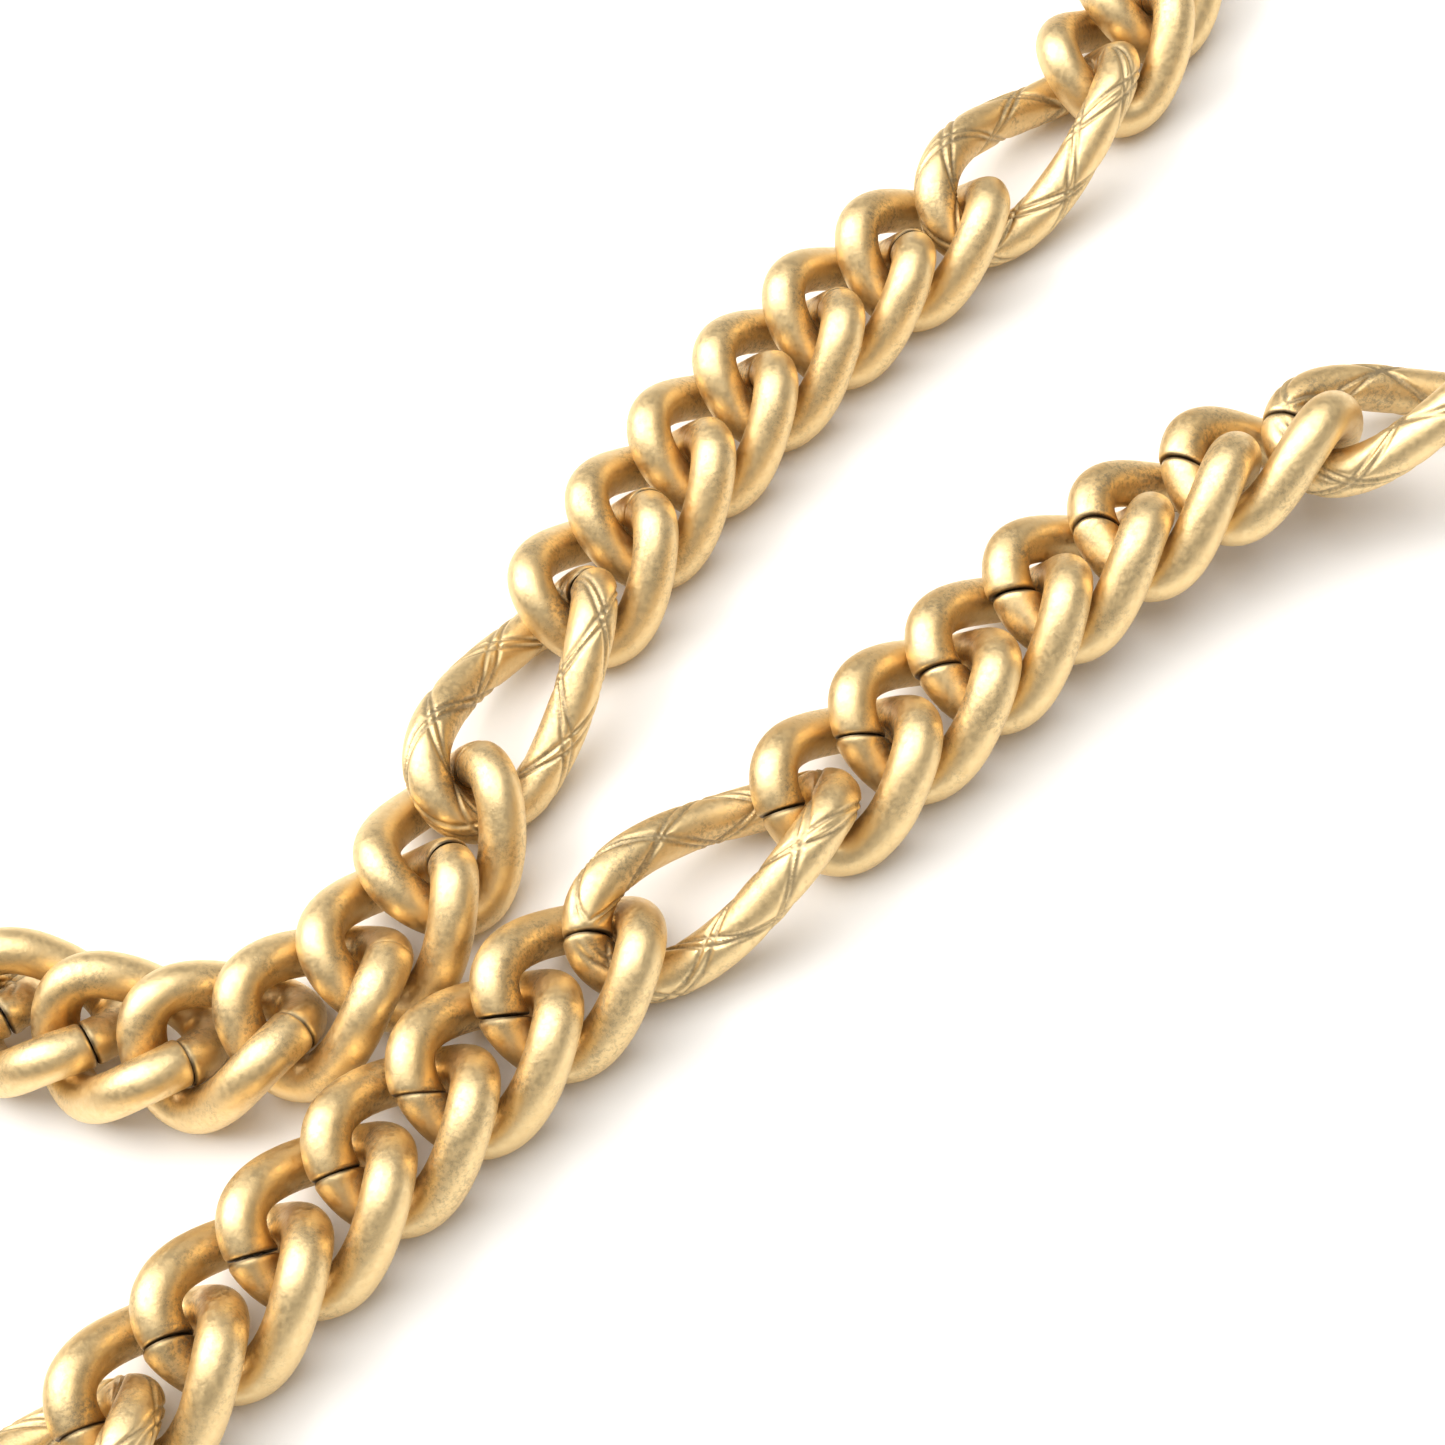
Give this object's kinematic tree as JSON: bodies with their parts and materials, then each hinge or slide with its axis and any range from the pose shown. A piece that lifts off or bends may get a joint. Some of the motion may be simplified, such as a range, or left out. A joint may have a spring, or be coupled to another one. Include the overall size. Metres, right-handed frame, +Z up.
{
  "type": "pocket watch chain",
  "caption": "Heavy curb chain with plain and quilted links, a T-bar at one end and a swivel clip at the other, laid in a loop.",
  "frame": {"origin": "on the floor under the middle of the chain as laid out", "axes": "+Z up; the two strands run from the loop at -X towards +X; the upper strand of the picture is on the +Y side"},
  "size_m": [0.1942, 0.1112, 0.0107],
  "materials": {
    "antique_gold": "matt brushed antique gold",
    "antique_gold_quilted": "matt antique gold with quilted grooves",
    "spring_steel": "satin"
  },
  "bodies": {
    "quilted_link_01": {"quilted_link_01": "antique_gold_quilted"},
    "curb_link_01": {"curb_link_01": "antique_gold"},
    "curb_link_02": {"curb_link_02": "antique_gold"},
    "curb_link_03": {"curb_link_03": "antique_gold"},
    "curb_link_04": {"curb_link_04": "antique_gold"},
    "curb_link_05": {"curb_link_05": "antique_gold"},
    "curb_link_06": {"curb_link_06": "antique_gold"},
    "quilted_link_02": {"quilted_link_02": "antique_gold_quilted"},
    "curb_link_07": {"curb_link_07": "antique_gold"},
    "curb_link_08": {"curb_link_08": "antique_gold"},
    "curb_link_09": {"curb_link_09": "antique_gold"},
    "curb_link_10": {"curb_link_10": "antique_gold"},
    "curb_link_11": {"curb_link_11": "antique_gold"},
    "curb_link_12": {"curb_link_12": "antique_gold"},
    "quilted_link_03": {"quilted_link_03": "antique_gold_quilted"},
    "curb_link_13": {"curb_link_13": "antique_gold"},
    "curb_link_14": {"curb_link_14": "antique_gold"},
    "curb_link_15": {"curb_link_15": "antique_gold"},
    "curb_link_16": {"curb_link_16": "antique_gold"},
    "curb_link_17": {"curb_link_17": "antique_gold"},
    "curb_link_18": {"curb_link_18": "antique_gold"},
    "quilted_link_04": {"quilted_link_04": "antique_gold_quilted"},
    "curb_link_19": {"curb_link_19": "antique_gold"},
    "curb_link_20": {"curb_link_20": "antique_gold"},
    "curb_link_21": {"curb_link_21": "antique_gold"},
    "curb_link_22": {"curb_link_22": "antique_gold"},
    "curb_link_23": {"curb_link_23": "antique_gold"},
    "curb_link_24": {"curb_link_24": "antique_gold"},
    "curb_link_25": {"curb_link_25": "antique_gold"},
    "curb_link_26": {"curb_link_26": "antique_gold"},
    "curb_link_27": {"curb_link_27": "antique_gold"},
    "curb_link_28": {"curb_link_28": "antique_gold"},
    "quilted_link_05": {"quilted_link_05": "antique_gold_quilted"},
    "curb_link_29": {"curb_link_29": "antique_gold"},
    "curb_link_30": {"curb_link_30": "antique_gold"},
    "curb_link_31": {"curb_link_31": "antique_gold"},
    "curb_link_32": {"curb_link_32": "antique_gold"},
    "curb_link_33": {"curb_link_33": "antique_gold"},
    "curb_link_34": {"curb_link_34": "antique_gold"},
    "quilted_link_06": {"quilted_link_06": "antique_gold_quilted"},
    "curb_link_35": {"curb_link_35": "antique_gold"},
    "curb_link_36": {"curb_link_36": "antique_gold"},
    "curb_link_37": {"curb_link_37": "antique_gold"},
    "curb_link_38": {"curb_link_38": "antique_gold"},
    "curb_link_39": {"curb_link_39": "antique_gold"},
    "curb_link_40": {"curb_link_40": "antique_gold"},
    "quilted_link_07": {"quilted_link_07": "antique_gold_quilted"},
    "curb_link_41": {"curb_link_41": "antique_gold"},
    "curb_link_42": {"curb_link_42": "antique_gold"},
    "t_bar_ring": {"t_bar_ring": "antique_gold"},
    "t_bar": {"t_bar": "antique_gold"},
    "clip_ring": {"clip_ring": "antique_gold"},
    "swivel_post": {"swivel_post": "antique_gold"},
    "swivel_hook": {"swivel_hook": "antique_gold", "gate_pin": "antique_gold", "gate_spring": "spring_steel"},
    "gate_lever": {"gate_lever": "antique_gold"}
  },
  "joints": [
    {"name": "curb_link_01_hinge", "type": "hinge", "parent": "quilted_link_01", "child": "curb_link_01", "pos_m": [-0.09134, -0.01757, 0.00362], "axis": [0.6811, -0.0357, 0.7314], "range_deg": [0, 14]},
    {"name": "curb_link_02_hinge", "type": "hinge", "parent": "curb_link_01", "child": "curb_link_02", "pos_m": [-0.09051, -0.01416, 0.00362], "axis": [-0.5501, 0.3809, 0.7431], "range_deg": [0, 14]},
    {"name": "curb_link_03_hinge", "type": "hinge", "parent": "curb_link_02", "child": "curb_link_03", "pos_m": [-0.08488, -0.00602, 0.00362], "axis": [-0.5501, 0.3809, -0.7431], "range_deg": [-14, 0]},
    {"name": "curb_link_04_hinge", "type": "hinge", "parent": "curb_link_03", "child": "curb_link_04", "pos_m": [-0.08203, -0.0039, 0.00362], "axis": [0.2079, -0.636, -0.7431], "range_deg": [-14, 0]},
    {"name": "curb_link_05_hinge", "type": "hinge", "parent": "curb_link_04", "child": "curb_link_05", "pos_m": [-0.07262, -0.00082, 0.00362], "axis": [0.2079, -0.636, 0.7431], "range_deg": [0, 14]},
    {"name": "curb_link_06_hinge", "type": "hinge", "parent": "curb_link_05", "child": "curb_link_06", "pos_m": [-0.06906, -0.00159, 0.00362], "axis": [0.2944, 0.6009, 0.7431], "range_deg": [0, 14]},
    {"name": "quilted_link_02_hinge", "type": "hinge", "parent": "curb_link_06", "child": "quilted_link_02", "pos_m": [-0.06017, -0.00595, 0.00362], "axis": [0.2944, 0.6009, -0.7431], "range_deg": [-14, 0]},
    {"name": "curb_link_07_hinge", "type": "hinge", "parent": "quilted_link_02", "child": "curb_link_07", "pos_m": [-0.05114, -0.01243, 0.00362], "axis": [-0.4555, -0.4902, -0.7431], "range_deg": [-14, 0]},
    {"name": "curb_link_08_hinge", "type": "hinge", "parent": "curb_link_07", "child": "curb_link_08", "pos_m": [-0.04389, -0.01917, 0.00362], "axis": [-0.4555, -0.4902, 0.7431], "range_deg": [0, 14]},
    {"name": "curb_link_09_hinge", "type": "hinge", "parent": "curb_link_08", "child": "curb_link_09", "pos_m": [-0.04148, -0.0218, 0.00362], "axis": [0.1687, 0.6475, 0.7431], "range_deg": [0, 2]},
    {"name": "curb_link_10_hinge", "type": "hinge", "parent": "curb_link_09", "child": "curb_link_10", "pos_m": [-0.0319, -0.0243, 0.00362], "axis": [0.1687, 0.6475, -0.7431], "range_deg": [-2, 2]},
    {"name": "curb_link_11_hinge", "type": "hinge", "parent": "curb_link_10", "child": "curb_link_11", "pos_m": [-0.02829, -0.02369, 0.00362], "axis": [-0.3703, 0.5573, 0.7431], "range_deg": [-4, 2]},
    {"name": "curb_link_12_hinge", "type": "hinge", "parent": "curb_link_11", "child": "curb_link_12", "pos_m": [-0.02004, -0.01821, 0.00362], "axis": [-0.3703, 0.5573, -0.7431], "range_deg": [-6, 14]},
    {"name": "quilted_link_03_hinge", "type": "hinge", "parent": "curb_link_12", "child": "quilted_link_03", "pos_m": [-0.01852, -0.01496, 0.00362], "axis": [-0.431, 0.5285, 0.7314], "range_deg": [-14, 14]},
    {"name": "curb_link_13_hinge", "type": "hinge", "parent": "quilted_link_03", "child": "curb_link_13", "pos_m": [-0.00488, -0.00383, 0.00362], "axis": [0.431, -0.5285, 0.7314], "range_deg": [-14, 14]},
    {"name": "curb_link_14_hinge", "type": "hinge", "parent": "curb_link_13", "child": "curb_link_14", "pos_m": [-0.0021, -0.00189, 0.00362], "axis": [0.3426, -0.5748, -0.7431], "range_deg": [-14, 14]},
    {"name": "curb_link_15_hinge", "type": "hinge", "parent": "curb_link_14", "child": "curb_link_15", "pos_m": [0.0064, 0.00318, 0.00362], "axis": [-0.3426, 0.5748, -0.7431], "range_deg": [-14, 14]},
    {"name": "curb_link_16_hinge", "type": "hinge", "parent": "curb_link_15", "child": "curb_link_16", "pos_m": [0.00943, 0.0047, 0.00362], "axis": [0.255, -0.6186, -0.7431], "range_deg": [-14, 14]},
    {"name": "curb_link_17_hinge", "type": "hinge", "parent": "curb_link_16", "child": "curb_link_17", "pos_m": [0.01858, 0.00847, 0.00362], "axis": [0.255, -0.6186, 0.7431], "range_deg": [-14, 14]},
    {"name": "curb_link_18_hinge", "type": "hinge", "parent": "curb_link_17", "child": "curb_link_18", "pos_m": [0.0218, 0.00953, 0.00362], "axis": [-0.1619, 0.6493, 0.7431], "range_deg": [-14, 14]},
    {"name": "quilted_link_04_hinge", "type": "hinge", "parent": "curb_link_18", "child": "quilted_link_04", "pos_m": [0.03141, 0.01192, 0.00362], "axis": [-0.1619, 0.6493, -0.7431], "range_deg": [-14, 14]},
    {"name": "curb_link_19_hinge", "type": "hinge", "parent": "quilted_link_04", "child": "curb_link_19", "pos_m": [0.0416, 0.01643, 0.00362], "axis": [-0.3942, 0.5407, 0.7431], "range_deg": [-14, 14]},
    {"name": "curb_link_20_hinge", "type": "hinge", "parent": "curb_link_19", "child": "curb_link_20", "pos_m": [0.0496, 0.02226, 0.00362], "axis": [0.3942, -0.5407, 0.7431], "range_deg": [-14, 10]},
    {"name": "curb_link_21_hinge", "type": "hinge", "parent": "curb_link_20", "child": "curb_link_21", "pos_m": [0.0519, 0.02483, 0.00362], "axis": [0.5801, -0.3336, -0.7431], "range_deg": [-10, 14]},
    {"name": "curb_link_22_hinge", "type": "hinge", "parent": "curb_link_21", "child": "curb_link_22", "pos_m": [0.05684, 0.03341, 0.00362], "axis": [-0.5801, 0.3336, -0.7431], "range_deg": [-10, 14]},
    {"name": "curb_link_23_hinge", "type": "hinge", "parent": "quilted_link_01", "child": "curb_link_23", "pos_m": [-0.09226, -0.03515, 0.00362], "axis": [0.6811, -0.0357, -0.7314], "range_deg": [0, 14]},
    {"name": "curb_link_24_hinge", "type": "hinge", "parent": "curb_link_23", "child": "curb_link_24", "pos_m": [-0.09191, -0.03869, 0.00362], "axis": [-0.5643, -0.3595, -0.7431], "range_deg": [0, 14]},
    {"name": "curb_link_25_hinge", "type": "hinge", "parent": "curb_link_24", "child": "curb_link_25", "pos_m": [-0.08659, -0.04704, 0.00362], "axis": [-0.5643, -0.3595, 0.7431], "range_deg": [-14, 0]},
    {"name": "curb_link_26_hinge", "type": "hinge", "parent": "curb_link_25", "child": "curb_link_26", "pos_m": [-0.08361, -0.04911, 0.00362], "axis": [0.1425, 0.6538, 0.7431], "range_deg": [-14, 0]},
    {"name": "curb_link_27_hinge", "type": "hinge", "parent": "curb_link_26", "child": "curb_link_27", "pos_m": [-0.07394, -0.05122, 0.00362], "axis": [0.1425, 0.6538, -0.7431], "range_deg": [0, 14]},
    {"name": "curb_link_28_hinge", "type": "hinge", "parent": "curb_link_27", "child": "curb_link_28", "pos_m": [-0.07057, -0.05011, 0.00362], "axis": [0.1743, -0.646, -0.7431], "range_deg": [0, 14]},
    {"name": "quilted_link_05_hinge", "type": "hinge", "parent": "curb_link_28", "child": "quilted_link_05", "pos_m": [-0.06102, -0.04753, 0.00362], "axis": [0.1743, -0.646, 0.7431], "range_deg": [-14, 0]},
    {"name": "curb_link_29_hinge", "type": "hinge", "parent": "quilted_link_05", "child": "curb_link_29", "pos_m": [-0.05069, -0.04348, 0.00362], "axis": [-0.27, 0.6122, 0.7431], "range_deg": [-14, 0]},
    {"name": "curb_link_30_hinge", "type": "hinge", "parent": "curb_link_29", "child": "curb_link_30", "pos_m": [-0.04163, -0.03948, 0.00362], "axis": [-0.27, 0.6122, -0.7431], "range_deg": [0, 14]},
    {"name": "curb_link_31_hinge", "type": "hinge", "parent": "curb_link_30", "child": "curb_link_31", "pos_m": [-0.03852, -0.03817, 0.00362], "axis": [0.2485, -0.6213, -0.7431], "range_deg": [0, 14]},
    {"name": "curb_link_32_hinge", "type": "hinge", "parent": "curb_link_31", "child": "curb_link_32", "pos_m": [-0.02933, -0.0345, 0.00362], "axis": [0.2485, -0.6213, 0.7431], "range_deg": [-14, 0]},
    {"name": "curb_link_33_hinge", "type": "hinge", "parent": "curb_link_32", "child": "curb_link_33", "pos_m": [-0.02617, -0.03329, 0.00362], "axis": [-0.2267, 0.6296, 0.7431], "range_deg": [-14, 0]},
    {"name": "curb_link_34_hinge", "type": "hinge", "parent": "curb_link_33", "child": "curb_link_34", "pos_m": [-0.01685, -0.02994, 0.00362], "axis": [-0.2267, 0.6296, -0.7431], "range_deg": [-14, 14]},
    {"name": "quilted_link_06_hinge", "type": "hinge", "parent": "curb_link_34", "child": "quilted_link_06", "pos_m": [-0.0137, -0.02864, 0.00362], "axis": [-0.1184, 0.6716, 0.7314], "range_deg": [-14, 14]},
    {"name": "curb_link_35_hinge", "type": "hinge", "parent": "quilted_link_06", "child": "curb_link_35", "pos_m": [0.00363, -0.02558, 0.00362], "axis": [0.1184, -0.6716, 0.7314], "range_deg": [-14, 14]},
    {"name": "curb_link_36_hinge", "type": "hinge", "parent": "curb_link_35", "child": "curb_link_36", "pos_m": [0.00671, -0.02407, 0.00359], "axis": [0.2127, -0.6654, -0.7156], "range_deg": [-14, 13]},
    {"name": "curb_link_37_hinge", "type": "hinge", "parent": "curb_link_36", "child": "curb_link_37", "pos_m": [0.01619, -0.02123, 0.00376], "axis": [-0.1707, 0.6157, -0.7693], "range_deg": [0, 9]},
    {"name": "curb_link_38_hinge", "type": "hinge", "parent": "curb_link_37", "child": "curb_link_38", "pos_m": [0.01928, -0.01979, 0.00399], "axis": [-0.195, 0.8432, 0.5009], "range_deg": [-1, 4]},
    {"name": "curb_link_39_hinge", "type": "hinge", "parent": "curb_link_38", "child": "curb_link_39", "pos_m": [0.02897, -0.01784, 0.00448], "axis": [-0.037, 0.4091, -0.9117], "range_deg": [-4, 0]},
    {"name": "curb_link_40_hinge", "type": "hinge", "parent": "curb_link_39", "child": "curb_link_40", "pos_m": [0.03233, -0.01721, 0.00469], "axis": [0.0599, 0.9579, 0.2806], "range_deg": [-1, 3]},
    {"name": "quilted_link_07_hinge", "type": "hinge", "parent": "curb_link_40", "child": "quilted_link_07", "pos_m": [0.0422, -0.01788, 0.00488], "axis": [0.031, 0.1771, -0.9837], "range_deg": [-14, 9]},
    {"name": "curb_link_41_hinge", "type": "hinge", "parent": "quilted_link_07", "child": "curb_link_41", "pos_m": [0.05308, -0.02007, 0.00491], "axis": [-0.2395, -0.9706, 0.0262], "range_deg": [-14, 14]},
    {"name": "curb_link_42_hinge", "type": "hinge", "parent": "curb_link_41", "child": "curb_link_42", "pos_m": [0.06269, -0.02243, 0.0053], "axis": [0.0075, -0.1362, -0.9906], "range_deg": [-3, 4]},
    {"name": "t_bar_ring_hinge", "type": "hinge", "parent": "curb_link_22", "child": "t_bar_ring", "pos_m": [0.05857, 0.03987, 0.00362], "axis": [-0.6367, 0.2057, -0.7431], "range_deg": [-20, 20]},
    {"name": "t_bar_hinge", "type": "hinge", "parent": "t_bar_ring", "child": "t_bar", "pos_m": [0.0599, 0.04399, 0.00299], "axis": [-0.5234, 0.2918, 0.8005], "range_deg": [-20, 20]},
    {"name": "clip_ring_hinge", "type": "hinge", "parent": "curb_link_42", "child": "clip_ring", "pos_m": [0.06917, -0.02386, 0.00533], "axis": [-0.0526, -0.2793, -0.9588], "range_deg": [-20, 20]},
    {"name": "swivel_post_hinge", "type": "hinge", "parent": "clip_ring", "child": "swivel_post", "pos_m": [0.0734, -0.02481, 0.00469], "axis": [0.2198, 0.9755, 0], "range_deg": [-25, 25]},
    {"name": "swivel_turn", "type": "hinge", "parent": "swivel_post", "child": "swivel_hook", "pos_m": [0.07174, -0.02444, 0.00494], "axis": [0.9653, -0.2175, -0.1444], "continuous": true},
    {"name": "gate_hinge", "type": "hinge", "parent": "swivel_hook", "child": "gate_lever", "pos_m": [0.0832, -0.03163, 0.00308], "axis": [0.1408, -0.0317, 0.9895], "range_deg": [0, 30], "stiffness_Nm_per_rad": 0.002, "springref_deg": -11.46}
  ]
}
